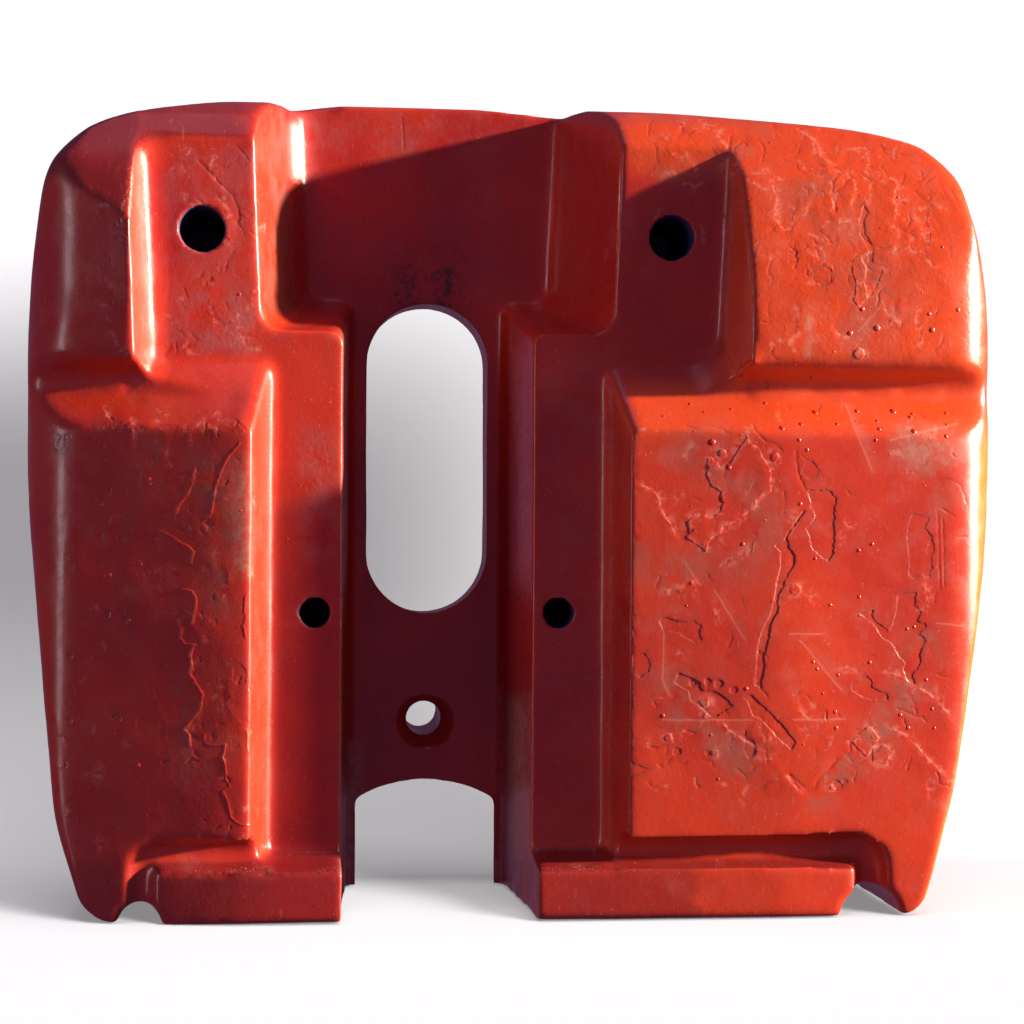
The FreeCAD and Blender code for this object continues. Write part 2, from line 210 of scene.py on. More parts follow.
def makeStudio(pieces, floor):
    bpy.context.scene.view_settings.view_transform = "Standard"
    s = studio
    lamp("keyLight", "SUN", s["keyFrom"], s["keyStrength"], s["keyColour"], pieces, soft=s["keySoft"])
    lamp("edgeBox", "AREA", s["edgePlace"], s["edgePower"], (1, 0.95, 0.9), pieces, size=s["edgeSize"])
    lamp("topBox", "AREA", s["topPlace"], s["topPower"], s["topColour"], pieces, size=s["topSize"])
    lamp("stripBox", "AREA", s["stripPlace"], s["stripPower"], (1, 0.94, 0.98), pieces, size=s["stripSize"])
    lamp("stageLight", "SUN", s["stageFrom"], s["stageStrength"], (1, 1, 1), [floor], soft=s["stageSoft"])
    lamp("floorLight", "SUN", s["floorFrom"], s["floorStrength"], (1, 1, 1), [floor], soft=s["floorSoft"])
    world = bpy.data.worlds.new("studio")
    bpy.context.scene.world = world
    world.use_nodes = True
    world.node_tree.nodes.clear()
    sky = Signal(world.node_tree)
    seen = sky.node("ShaderNodeLightPath", output="Is Camera Ray")
    shine = sky.node("ShaderNodeLightPath", output="Is Glossy Ray")
    dome = shine.tint([c * s["skyStrength"] for c in s["skyColour"]], s["mirrored"])
    light = sky.node("ShaderNodeBackground", {}, {"Color": dome, "Strength": 1.0})
    plain = sky.node("ShaderNodeBackground", {}, {"Color": (*s["backdrop"], 1), "Strength": 1.0})
    sky.node("ShaderNodeOutputWorld", {}, {"Surface": sky.node("ShaderNodeMixShader", {}, {0: seen, 1: light,
                                                                                            2: plain})})
    pale = bpy.data.materials.new("paleFloor")
    pale.use_nodes = True
    shader = pale.node_tree.nodes["Principled BSDF"]
    shader.inputs["Base Color"].default_value = (*s["stageColour"], 1)
    shader.inputs["Roughness"].default_value = 0.9
    shader.inputs["Specular IOR Level"].default_value = 0.0
    shader.inputs["Emission Color"].default_value = (1, 1, 1, 1)
    shader.inputs["Emission Strength"].default_value = s["stageGlow"]
    # from behind, the wall is clear, so that the part is seen from every side
    shade = Signal(pale.node_tree)
    behind, clear = shade.node("ShaderNodeNewGeometry", output="Backfacing"), shade.node("ShaderNodeBsdfTransparent")
    both = shade.node("ShaderNodeMixShader", {}, {0: behind, 1: Signal(shade.tree, shader.outputs[0]), 2: clear})
    pale.node_tree.links.new(both.source, pale.node_tree.nodes["Material Output"].inputs["Surface"])
    floor.data.materials.append(pale)


# the casting: the CAD solid's copy, remeshed, its crests eased, with the unevenness of a casting
casting = {"voxel": 0.0025, "ease": 11, "rearEase": 34, "softEase": 50, "unevenWide": 0.00042,
           "unevenFine": 0.00010, "leftTurn": 0.11, "frontBack": 0.0007, "triangles": 196000}


def copyOf(node):
    bm = bmesh.new()
    bm.from_mesh(node.data)
    bmesh.ops.remove_doubles(bm, verts=bm.verts, dist=1e-6)
    loose = sum(1 for e in bm.edges if not e.is_manifold)
    mesh = bpy.data.meshes.new("casting")
    bm.to_mesh(mesh)
    bm.free()
    made = bpy.data.objects.new("casting", mesh)
    bpy.context.scene.collection.objects.link(made)
    print("casting copied:", len(mesh.vertices), "points,", loose, "open edges")
    return made


def settled(piece, kind, **settings):  # a modifier added, evaluated into the mesh and removed
    modifier = piece.modifiers.new(kind.lower(), kind)
    for name, value in settings.items():
        setattr(modifier, name, value)
    graph = bpy.context.evaluated_depsgraph_get()
    mesh = bpy.data.meshes.new_from_object(piece.evaluated_get(graph))
    piece.modifiers.remove(modifier)
    old = piece.data
    piece.data = mesh
    bpy.data.meshes.remove(old)
    return mesh


def pointsOf(mesh):
    spots = np.empty(len(mesh.vertices) * 3, np.float32)
    mesh.vertices.foreach_get("co", spots)
    return spots.reshape(-1, 3).astype(np.float64)


def setPoints(mesh, spots):
    mesh.vertices.foreach_set("co", spots.astype(np.float32).ravel())
    mesh.update()


def normalsOf(mesh):
    normals = np.empty(len(mesh.vertices) * 3, np.float32)
    mesh.vertex_normals.foreach_get("vector", normals)
    return normals.reshape(-1, 3).astype(np.float64)


def stepUp(value, low, high):
    share = np.clip((value - low) / (high - low), 0, 1)
    return share * share * (3 - 2 * share)


def easedCrests(mesh, rounds, share):
    spots = pointsOf(mesh)
    ends = np.empty(len(mesh.edges) * 2, np.int32)
    mesh.edges.foreach_get("vertices", ends)
    ends = ends.reshape(-1, 2)
    count = np.bincount(ends.ravel(), minlength=len(spots))[:, None]
    for turn in range(rounds):
        total = np.zeros_like(spots)
        for axis in range(3):
            total[:, axis] = (np.bincount(ends[:, 0], spots[ends[:, 1], axis], len(spots))
                              + np.bincount(ends[:, 1], spots[ends[:, 0], axis], len(spots)))
        spots += 0.5 * share[:, None] * (total / count - spots)
    setPoints(mesh, spots)


def waves(spots, length, count=28):  # smooth noise of about that wavelength, from -1 to 1
    ways = rng.normal(size=(count, 3))
    ways *= (2 * math.pi / length) * rng.uniform(0.6, 1.5, (count, 1)) / np.linalg.norm(ways, axis=1)[:, None]
    return np.sin(spots @ ways.T + rng.uniform(0, 2 * math.pi, count)).sum(1) / math.sqrt(count / 2) * 0.6


# Features of the part that the easing treats on their own, in metres.
holes = {"bolts": [(-0.281, 0.609, 0.020), (0.141, 0.609, 0.020), (-0.1795, 0.269, 0.0135), (0.0395, 0.269, 0.0135)],
         "seat": (-0.070, 0.158, 0.027), "slot": (-0.070, 0.321, 0.5015, 0.0575)}


def rimGap(spots):  # distance from the nearest bolt hole's rim, seen from the front
    gaps = [np.abs(np.hypot(spots[:, 0] - x, spots[:, 2] - z) - r) for x, z, r in holes["bolts"]]
    return np.min(gaps, axis=0)


def slotGap(spots):
    x, low, high, radius = holes["slot"]
    across = spots[:, 0] - x
    return np.abs(np.hypot(across, spots[:, 2] - np.clip(spots[:, 2], low, high)) - radius)


def easeShare(spots):
    share = 0.12 + 0.88 * stepUp(rimGap(spots), 0.003, 0.009)
    share *= 0.35 + 0.65 * stepUp(slotGap(spots), 0.003, 0.010)
    seatGap = np.abs(np.hypot(spots[:, 0] - holes["seat"][0], spots[:, 2] - holes["seat"][1]) - 0.022)
    return share * (0.3 + 0.7 * stepUp(seatGap, 0.008, 0.014))


body = copyOf(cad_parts["ballast_weight"])
settled(body, "REMESH", mode="VOXEL", voxel_size=casting["voxel"])
print("remeshed:", len(body.data.polygons), "faces")
spots = pointsOf(body.data)
share = easeShare(spots)
easedCrests(body.data, casting["ease"], share)
boreGap = np.hypot(spots[:, 0] - holes["seat"][0], spots[:, 2] - holes["seat"][1] - 0.005)
rear = stepUp(spots[:, 1], 0.085, 0.110) * stepUp(slotGap(spots), 0.008, 0.03) * stepUp(boreGap, 0.03, 0.05)
easedCrests(body.data, casting["rearEase"], rear * share)
# the valley, the brow's corners and the pad walls' feet are softer than the rest
valleyBand = stepUp(spots[:, 2], 0.425, 0.445) * (1 - stepUp(spots[:, 2], 0.500, 0.520)) * np.maximum(
    stepUp(spots[:, 0], 0.205, 0.215), 1 - stepUp(spots[:, 0], -0.355, -0.345))
padFoot = stepUp(spots[:, 0], -0.340, -0.334) * (1 - stepUp(spots[:, 0], -0.318, -0.308)) * stepUp(
    spots[:, 2], 0.49, 0.52) * stepUp(spots[:, 1], -0.115, -0.095) * (1 - stepUp(spots[:, 1], -0.06, -0.05))
pocketFoot = stepUp(spots[:, 0], -0.232, -0.212) * (1 - stepUp(spots[:, 0], -0.170, -0.150)) * stepUp(
    spots[:, 2], 0.57, 0.60) * stepUp(spots[:, 1], -0.03, 0.01) * (1 - stepUp(spots[:, 1], 0.072, 0.080))
sideEdge = np.maximum(stepUp(spots[:, 0], 0.372, 0.392), 1 - stepUp(spots[:, 0], -0.400, -0.380)) * (
    1 - stepUp(spots[:, 1], -0.05, 0.0))
soft = np.clip(valleyBand + padFoot + pocketFoot + 0.8 * sideEdge, 0, 1)
easedCrests(body.data, casting["softEase"], soft * share)
print("crests eased")

# Chipped and lifted paint, placed where the camera sees it. A line that runs down the picture has
# its left side raised by a positive height and its right side by a negative one. Heights in mm.
paintwork = {
    "scale": 0.58,
    "sunken": [
        (0.75, [(807, 510), (797, 523), (787, 537), (790, 547), (795, 555), (795, 565), (788, 577), (783, 588),
                (778, 600), (779, 612), (772, 622), (770, 637), (765, 655), (765, 667), (761, 690), (755, 685),
                (757, 653), (762, 632), (771, 613), (774, 600), (777, 583), (781, 567), (781, 552), (775, 545),
                (784, 540), (794, 524), (803, 511)]),
        (0.40, [(812, 461), (817, 465), (820, 472), (817, 478), (811, 480), (801, 474), (803, 466)]),
        (0.70, [(826, 490), (831, 491), (837, 498), (835, 513), (835, 540), (834, 553), (829, 562), (822, 558),
                (812, 548), (810, 538), (806, 529), (810, 525), (816, 517), (812, 508), (810, 497), (808, 490)]),
        (0.45, [(913, 513), (908, 527), (907, 537), (909, 552), (909, 575), (914, 580), (922, 574), (930, 579),
                (933, 567), (932, 557), (935, 547), (932, 535), (925, 527), (932, 517)]),
        (0.65, [(859, 613), (868, 620), (877, 628), (881, 637), (892, 644), (898, 655), (905, 663), (903, 670),
                (908, 682), (916, 685), (913, 677), (916, 672), (922, 662), (921, 653), (927, 639), (921, 634),
                (927, 625), (918, 621), (922, 613), (916, 605), (917, 593), (908, 592), (898, 595), (897, 605),
                (895, 618), (890, 631), (878, 623), (873, 617), (874, 610)]),
        (0.60, [(851, 684), (852, 690), (862, 697), (870, 700), (889, 700), (888, 694), (873, 688), (873, 682),
                (867, 675), (860, 680)]),
        (0.55, [(659, 623), (664, 632), (677, 632), (683, 636), (693, 642), (702, 640), (700, 634), (702, 627),
                (695, 620), (685, 622), (677, 621), (668, 617), (661, 618)]),
        (0.50, [(633, 655), (645, 653), (651, 663), (649, 672), (640, 678), (631, 673)]),
        (0.75, [(674, 683), (688, 691), (690, 699), (694, 704), (704, 710), (711, 718), (718, 716), (734, 706),
                (727, 698), (717, 692), (703, 690), (700, 682), (688, 677), (679, 672)]),
        (0.70, [(743, 698), (748, 703), (753, 715), (761, 720), (770, 729), (780, 740), (792, 750), (796, 742),
                (790, 733), (780, 722), (768, 710), (757, 700), (750, 694)]),
        (0.45, [(631, 762), (643, 767), (652, 769), (640, 774), (630, 778)]),
        (0.45, [(813, 268), (824, 265), (833, 270), (832, 282), (822, 286), (813, 280)]),
        (0.45, [(788, 252), (797, 250), (798, 261), (789, 263)]),
        (0.50, [(864, 203), (869, 212), (864, 222), (866, 234), (874, 247), (873, 262), (868, 262), (868, 249),
                (861, 236), (859, 221)]),
        (0.45, [(233, 668), (241, 665), (247, 672), (246, 683), (238, 686), (232, 680)]),
        (0.40, [(745, 738), (755, 742), (757, 752), (750, 760), (744, 752)]),
    ],
    "raised": [
        (0.65, [(708, 458), (713, 457), (721, 467), (726, 468), (732, 461), (739, 449), (745, 440), (748, 431),
                (753, 426), (747, 432), (750, 442), (760, 449), (763, 457), (768, 465), (772, 473), (771, 482),
                (772, 492), (763, 495), (757, 500), (757, 507), (747, 513), (737, 520), (723, 527), (720, 534),
                (710, 539), (707, 552), (702, 548), (696, 544), (685, 537), (689, 534), (688, 523), (692, 517),
                (702, 515), (712, 517), (721, 512), (723, 503), (721, 492), (712, 485), (707, 477)]),
        (0.60, [(870, 726), (862, 731), (852, 742), (860, 751), (867, 757), (874, 748), (880, 738)]),
        (0.50, [(853, 258), (861, 255), (867, 268), (865, 282), (868, 296), (860, 308), (854, 300), (857, 284),
                (852, 270)]),
        (0.40, [(872, 748), (884, 744), (893, 752), (886, 765), (873, 762)]),
    ],
    "steps": [
        (0.50, [(640, 484), (652, 489), (660, 498), (661, 507), (666, 517), (672, 525), (678, 538)]),
        (-0.45, [(756, 537), (751, 551), (742, 557), (733, 558), (727, 563), (720, 568)]),
        (0.50, [(912, 688), (922, 688), (932, 695), (942, 705), (952, 717)]),
        (0.40, [(884, 672), (893, 673), (903, 677), (916, 688)]),
        (0.50, [(889, 726), (907, 736), (917, 745), (928, 758), (945, 774)]),
        (0.50, [(720, 721), (727, 727), (735, 734), (748, 742), (757, 747)]),
        (0.45, [(785, 772), (792, 783), (800, 791)]),
        (0.40, [(836, 170), (853, 179), (856, 190), (852, 204)]),
        (0.40, [(887, 176), (898, 183), (894, 199), (898, 210), (893, 226)]),
        (-0.40, [(881, 263), (882, 274), (878, 284), (868, 301)]),
        (0.40, [(770, 180), (778, 196), (775, 214), (783, 230)]),
        (-0.40, [(930, 205), (926, 220), (931, 238), (927, 250)]),
        (0.35, [(700, 120), (716, 132), (728, 148)]),
        (0.35, [(798, 128), (815, 140), (822, 156), (836, 166)]),
    ],
    "grooves": [
        (-0.53, 1.1, [(194.3, 469), (191.9, 483), (187, 495), (178.8, 505), (175.7, 514), (163.3, 517)]),
        (-0.53, 1.1, [(158.6, 531), (172.9, 537), (180, 543), (187, 546), (193, 552), (190.7, 564)]),
        (-0.58, 1.1, [(182.4, 589), (191.9, 592), (196, 600), (194.3, 612), (191.9, 624)]),
        (-0.68, 1.1, [(178.8, 621), (181.2, 629), (180, 639), (184.8, 644), (193.8, 645), (190, 655), (191.3, 665),
                 (189.5, 674), (195, 682.5), (202.5, 695.5), (199.3, 710), (190, 722.5), (185, 730.5),
                 (189.5, 736), (189.3, 746)]),
        (-0.53, 1.1, [(245.5, 597.6), (244.3, 609.5), (246.7, 618), (243, 626), (245.5, 638)]),
        (-0.48, 1.1, [(239.5, 443), (232.4, 451), (225, 462), (219, 476), (214.5, 490), (213, 502), (211, 512)]),
        (-0.53, 1.1, [(225, 745), (222.5, 757), (225, 767), (226, 780), (230, 787), (222.5, 791), (227.5, 802.5),
                 (230.5, 817.5), (240, 825), (252.5, 825.5), (253.8, 840), (260, 846)]),
        (-0.48, 1.1, [(247.5, 732), (247.5, 745), (252.5, 760), (253.8, 780)]),
        (-0.43, 1.1, [(203.8, 735), (203.8, 742.5), (211, 746), (225, 745)]),
        (0.45, 1.5, [(753, 425), (757, 432), (766, 442), (772, 442), (782, 450)]),
        (0.45, 1.4, [(796, 451), (797, 464), (800, 477), (808, 493)]),
        (0.35, 1.3, [(687, 426), (697, 428)]), (0.35, 1.3, [(715, 427), (724, 429)]),
        (0.35, 1.3, [(724, 432), (730, 433)]),
        (0.40, 1.3, [(761, 690), (767, 696)]),
        (0.40, 1.3, [(898, 709), (913, 715), (917, 717), (922, 717), (927, 722)]),
        (0.45, 1.5, [(872, 745), (880, 746), (877, 751), (867, 757), (863, 762), (858, 764), (850, 767)]),
        (0.40, 1.4, [(911, 758), (907, 770)]),
        (0.65, 2.2, [(837, 760), (828, 770), (819, 780), (815, 788), (807, 790)]),
        (0.45, 1.5, [(790, 775), (798, 788)]), (0.40, 1.4, [(937, 674), (949, 678)]),
        (0.35, 1.4, [(937, 480), (950, 479), (960, 485), (965, 495), (967, 503)]),
        (0.40, 1.3, [(941, 508), (955, 517)]), (0.40, 1.3, [(958, 537), (968, 537)]),
        (0.40, 1.3, [(766, 750), (767, 762)]), (0.45, 1.4, [(790, 775), (805, 788)]),
        (0.30, 1.2, [(632, 752), (667, 745)]),
        (0.45, 1.4, [(198.7, 161), (209, 171.6), (218.4, 182), (232.9, 195), (236.8, 206), (239.5, 216),
                     (236.8, 221.6), (242, 229.5)]),
        (0.35, 1.3, [(235.5, 145), (243, 152), (248.7, 161)]), (0.35, 1.3, [(235.5, 248), (227.6, 261), (225, 271)]),
        (0.40, 1.4, [(88, 357), (104, 355), (119.7, 350.5)]),
        (0.35, 1.3, [(405, 262), (408, 280), (413, 304)]), (0.35, 1.3, [(445, 268), (446, 290), (452, 303)]),
        (0.30, 1.2, [(418, 276), (421, 300)]), (0.25, 1.2, [(402, 118), (404, 150)]),
        (0.30, 1.1, [(938, 512), (940, 590)]), (0.30, 1.1, [(943, 518), (945, 585)]),
    ],
    "dots": [
        (722, 453, 4, 0.7), (775, 457, 4.5, 0.7), (797, 589, 6, 0.5), (705, 702, 5, 0.7), (715, 753, 4, 0.6),
        (669, 738, 4, 0.6), (693, 683, 4, -0.7), (708, 682, 4, -0.7), (719, 684, 5, -0.7), (734, 690, 4.5, -0.7),
        (677, 752, 5, -0.6), (708, 753, 3, -0.5), (860, 354, 6, 0.8), (117.5, 718, 4.5, -0.6), (113, 717, 3, -0.5),
        (155, 459, 3, -0.5), (121.7, 539, 4, -0.5), (106, 614, 4.5, -0.5), (125, 619, 5, -0.6), (122, 613, 4, -0.5),
        (208.6, 522.6, 4, -0.6), (61, 443, 7, -0.4), (57, 438, 4, -0.5), (67, 437, 4, -0.5), (668, 592, 2.5, 0.5),
        (680, 590, 2.5, 0.5), (692, 583, 2.5, 0.5), (838, 785, 5, -0.5), (833, 788, 3, 0.5), (845, 782, 3, -0.5),
        (165, 762, 3, -0.4), (70, 656, 3, -0.4), (69, 720, 3.5, -0.4), (128.8, 516.7, 2.5, -0.4),
        (59.5, 768, 2.5, 0.4), (98.8, 772.5, 3, 0.3), (67.5, 812, 3, 0.4), (213, 597.6, 3, -0.4),
        (765, 385, 4, -0.5), (212.5, 872, 3, -0.5), (237.5, 873, 3, -0.5), (222, 873, 2.5, -0.4),
        (263.8, 873, 3, -0.5), (290, 873, 3, -0.4), (316, 872, 3, -0.5), (205, 523, 2.5, -0.4),
    ],
    "scratches": [
        [(790, 634), (823, 634)], [(793, 720), (845, 719)], [(937, 623), (964, 626)], [(663, 720), (753, 720)],
        [(664, 633), (663, 680), (670, 696)], [(858, 332), (869, 320), (880, 308)], [(846, 405), (872, 470)],
        [(715, 590), (745, 640)], [(684, 560), (700, 585)], [(890, 440), (957, 424)], [(800, 640), (842, 690)],
    ],
    "dashes": [
        ((640, 114, 930, 250), 90, 11.0, 0.38), ((765, 165, 950, 350), 80, 13.0, 0.42),
        ((640, 690, 860, 790), 60, 8.0, 0.45), ((165, 145, 258, 350), 60, 8.0, 0.40),
        ((150, 440, 250, 840), 60, 5.0, 0.50),
        ((640, 395, 960, 500), 22, 6.0, 0.40), ((60, 420, 255, 840), 50, 6.0, 0.45),
        ((900, 690, 960, 790), 14, 8.0, 0.45), ((110, 415, 250, 430), 20, 8.0, 0.40),
        ((105, 200, 126, 345), 16, 8.0, 0.45), ((660, 440, 960, 690), 40, 9.0, 0.35),
    ],
    "hazes": [
        (16, 0.8, [(922, 640), (905, 700), (880, 735), (850, 765), (815, 792)]),
        (16, 0.6, [(640, 560), (668, 575), (705, 560)]), (20, 0.7, [(672, 690), (700, 730), (740, 760)]),
        (22, 0.5, [(690, 450), (735, 470), (765, 520), (740, 560)]), (14, 0.5, [(905, 440), (960, 520)]),
        (26, 0.45, [(800, 190), (845, 225), (880, 290), (860, 330)]), (10, 0.5, [(180, 690), (190, 780)]),
        (18, 0.6, [(205, 470), (232, 540), (222, 600)]), (12, 0.45, [(660, 175), (700, 185), (760, 130)]),
    ],
    "crests": [
        [(635, 436), (636, 520), (634, 640), (631, 760), (629, 840)], [(621, 130), (620, 220), (615, 330)],
        [(744, 205), (751, 270), (755, 355)], [(530, 868), (650, 868)], [(200, 871), (345, 868)],
        [(259, 145), (262, 310)], [(487, 375), (487, 520)], [(130, 158), (126, 240), (124, 340)],
        [(345, 345), (347, 560), (349, 860)], [(90, 428), (160, 427), (245, 431)],
    ],
}


def torn(line, closed, reach=0.8, step=2.6):  # a line with a torn edge's small turns
    line = np.asarray(line, float)
    ends = np.roll(line, -1, 0) if closed else line[1:]
    made = []
    for start, end in zip(line, ends):
        count = max(1, int(round(np.hypot(*(end - start)) / step)))
        made += [start + (end - start) * k / count for k in range(count)]
    if not closed:
        made.append(line[-1])
    made = np.array(made)
    return made + rng.uniform(-reach, reach, made.shape)


def awayFrom(seen, line, closed=False):  # distance from a line, the side and whether it is inside
    starts = line if closed else line[:-1]
    ends = np.roll(line, -1, 0) if closed else line[1:]
    best, side, inside = np.full(len(seen), 1e9), np.zeros(len(seen)), np.zeros(len(seen), bool)
    for start, end in zip(starts, ends):
        step, away = end - start, seen - start
        length = max(step @ step, 1e-9)
        share = np.clip(away @ step / length, 0, 1)
        gap = np.hypot(*(away - share[:, None] * step).T)
        nearer = gap < best
        best[nearer] = gap[nearer]
        side[nearer] = np.sign(step[0] * away[:, 1] - step[1] * away[:, 0])[nearer]
        if closed:
            crossing = (start[1] > seen[:, 1]) != (end[1] > seen[:, 1])
            slope = step[0] / step[1] if abs(step[1]) > 1e-9 else 0.0
            inside ^= crossing & (seen[:, 0] < start[0] + (seen[:, 1] - start[1]) * slope)
    return best, side, inside


def paintStrokes():  # every mark as its kind, its height and width, and its torn line
    strokes = []
    for height, line in paintwork["sunken"]:
        strokes.append(("patch", -height, 0.9, torn(line, True), True))
    for height, line in paintwork["raised"]:
        strokes.append(("patch", height, 0.9, torn(line, True), True))
    for height, line in paintwork["steps"]:
        strokes.append(("step", height, 1.0, torn(line, False), False))
    for depth, width, line in paintwork["grooves"]:
        strokes.append(("groove", -depth, width, torn(line, False, 0.5), False))
    for line in paintwork["scratches"]:
        strokes.append(("scratch", -0.13, 0.8, torn(line, False, 0.4, 5), False))
    for x, y, radius, height in paintwork["dots"]:
        turn = np.linspace(0, 2 * math.pi, 9)[:-1]
        ring = np.stack([x + radius * np.cos(turn), y + radius * np.sin(turn)], 1)
        strokes.append(("patch", height, 1.3, ring * 1 + rng.uniform(-0.22, 0.22, ring.shape) * radius, True))
    for (left, top, right, bottom), count, length, depth in paintwork["dashes"]:
        for n in range(count):
            start = np.array([rng.uniform(left, right), rng.uniform(top, bottom)])
            way = rng.normal(math.pi / 2, 0.75)
            line = [start]
            for step in range(rng.integers(2, 5)):
                way += rng.normal(0, 0.55)
                line.append(line[-1] + rng.uniform(0.5, 1.1) * length / 2 * np.array([math.cos(way), math.sin(way)]))
            height = depth * rng.uniform(0.5, 1.1)
            if n % 2:
                strokes.append(("groove", -height, rng.uniform(1.0, 1.5), np.array(line), False))
            else:
                strokes.append(("step", height * rng.choice([-1, 1]) * 0.8, 1.0, np.array(line), False))
    return strokes


strokes = paintStrokes()
crestLines = [torn(line, False, 0.3, 6) for line in paintwork["crests"]]
scratchLines = [stroke[3] for stroke in strokes if stroke[0] == "scratch"]


def facing(spots, normals):
    way = np.array(camera["place"]) - spots
    way /= np.linalg.norm(way, axis=1)[:, None]
    return (way * normals).sum(1)


class Spread:  # points sorted by where they are seen, so that those in a box are found quickly
    def __init__(self, seen, front):
        kept = np.nonzero(front & (seen > 0).all(1) & (seen < 1023).all(1))[0]
        cell = (seen[kept, 1] // 16).astype(int) * 64 + (seen[kept, 0] // 16).astype(int)
        order = np.argsort(cell, kind="stable")
        self.seen, self.index, self.cell = seen, kept[order], cell[order]

    def within(self, line, reach):
        low, high = line.min(0) - reach, line.max(0) + reach
        left, right = max(0, int(low[0] // 16)), min(63, int(high[0] // 16))
        rows = range(max(0, int(low[1] // 16)), min(63, int(high[1] // 16)) + 1)
        near = np.concatenate([self.index[np.searchsorted(self.cell, row * 64 + left):
                                          np.searchsorted(self.cell, row * 64 + right + 1)] for row in rows])
        return near[(self.seen[near] > low).all(1) & (self.seen[near] < high).all(1)]


def nearStroke(seen, front):  # distance in frame steps from the nearest stroke or worn crest
    best, spread = np.full(len(seen), 99.0), Spread(seen, front)
    for line, closed in [(s[3], s[4]) for s in strokes] + [(line, False) for line in crestLines]:
        near = spread.within(line, 6)
        if len(near):
            best[near] = np.minimum(best[near], awayFrom(seen[near], line, closed)[0])
    return best


def refined(mesh, reach):  # the edges near a stroke are split
    spots, normals = pointsOf(mesh), normalsOf(mesh)
    gap = nearStroke(seenAt(spots), facing(spots, normals) > 0.3)
    bm = bmesh.new()
    bm.from_mesh(mesh)
    bm.verts.ensure_lookup_table()
    chosen = [e for e in bm.edges if gap[e.verts[0].index] < reach and gap[e.verts[1].index] < reach]
    bmesh.ops.subdivide_edges(bm, edges=chosen, cuts=1, use_grid_fill=True)
    bm.to_mesh(mesh)
    bm.free()
    return len(chosen)


def paintHeight(seen, front, spots):  # height of the paint's surface over the casting, in metres
    height, spread = np.zeros(len(seen)), Spread(seen, front)
    ragged = 1 + 0.25 * waves(spots, 0.012)
    for kind, tall, width, line, closed in strokes:
        near = spread.within(line, 42 if kind == "step" else 7)
        if not len(near):
            continue
        gap, side, inside = awayFrom(seen[near], line, closed)
        if kind == "patch":
            signed = np.where(inside, gap, -gap)
            form = stepUp(signed, -0.3 * width, 0.7 * width)
            if tall < 0:
                form *= 0.72 + 0.28 * np.exp(-np.maximum(signed, 0) / 5)
        elif kind in ("groove", "scratch"):
            form = np.exp(-(gap / width) ** 2)
        else:
            raised = side > 0 if tall > 0 else side < 0
            ends = np.minimum(np.hypot(*(seen[near] - line[0]).T), np.hypot(*(seen[near] - line[-1]).T))
            form = raised * stepUp(gap, 0, 0.8) * np.exp(-gap / 13) * stepUp(ends + gap, 1, 8)
            tall = abs(tall)
        height[near] += tall * form * ragged[near] * paintwork["scale"] * 0.001
    return height


spots = pointsOf(body.data)
turned = stepUp(spots[:, 2], 0.50, 0.57) * (1 - stepUp(spots[:, 1], 0.0, 0.05)) * np.maximum(0, -0.338 - spots[:, 0])
spots[:, 1] += casting["leftTurn"] * turned
setPoints(body.data, spots)
for turn in range(2):
    print("refined:", refined(body.data, 4.2 - 1.6 * turn), "edges split")
spots, normals = pointsOf(body.data), normalsOf(body.data)
seen = seenAt(spots)
front = facing(spots, normals) > 0.25
offset = casting["unevenWide"] * (waves(spots, 0.11) - 1.2) + casting["unevenFine"] * waves(spots, 0.035)
offset *= 0.15 + 0.85 * stepUp(rimGap(spots), 0.002, 0.012)
offset += paintHeight(seen, front, spots)
edgeWear = np.zeros(len(spots))
spread = Spread(seen, front)
for line in crestLines:
    near = spread.within(line, 8)
    if len(near):
        edgeWear[near] = np.maximum(edgeWear[near], np.exp(-(awayFrom(seen[near], line)[0] / 3.0) ** 2))
rubbed = edgeWear * stepUp(waves(spots, 0.03), 0.05, 0.6)
offset -= rubbed * (0.00016 * np.maximum(0, waves(spots, 0.010)) + 0.00012 * np.maximum(0, waves(spots, 0.004)))
offset -= casting["frontBack"] * stepUp(-spots[:, 1], 0.118, 0.134)
spots = np.clip(spots + normals * offset[:, None], np.array(cadLow) + 2e-5, np.array(cadHigh) - 2e-5)
setPoints(body.data, spots)
faces = sum(len(p.vertices) - 2 for p in body.data.polygons)
settled(body, "DECIMATE", ratio=min(1.0, casting["triangles"] / faces))
body.data.shade_smooth()
settled(body, "WEIGHTED_NORMAL", mode="FACE_AREA", weight=50)
print("casting:", faces, "triangles before,", len(body.data.polygons), "after")


# masks that the paint reads, one value per point
def mask(mesh, name, values):
    layer = mesh.attributes.new(name, "FLOAT", "POINT")
    layer.data.foreach_set("value", np.clip(values, 0, 1).astype(np.float32))


def blot(seen, front, left, top, right, bottom, soft=10):
    across = np.minimum(seen[:, 0] - left, right - seen[:, 0])
    down = np.minimum(seen[:, 1] - top, bottom - seen[:, 1])
    return front * stepUp(np.minimum(across, down), -soft, soft)


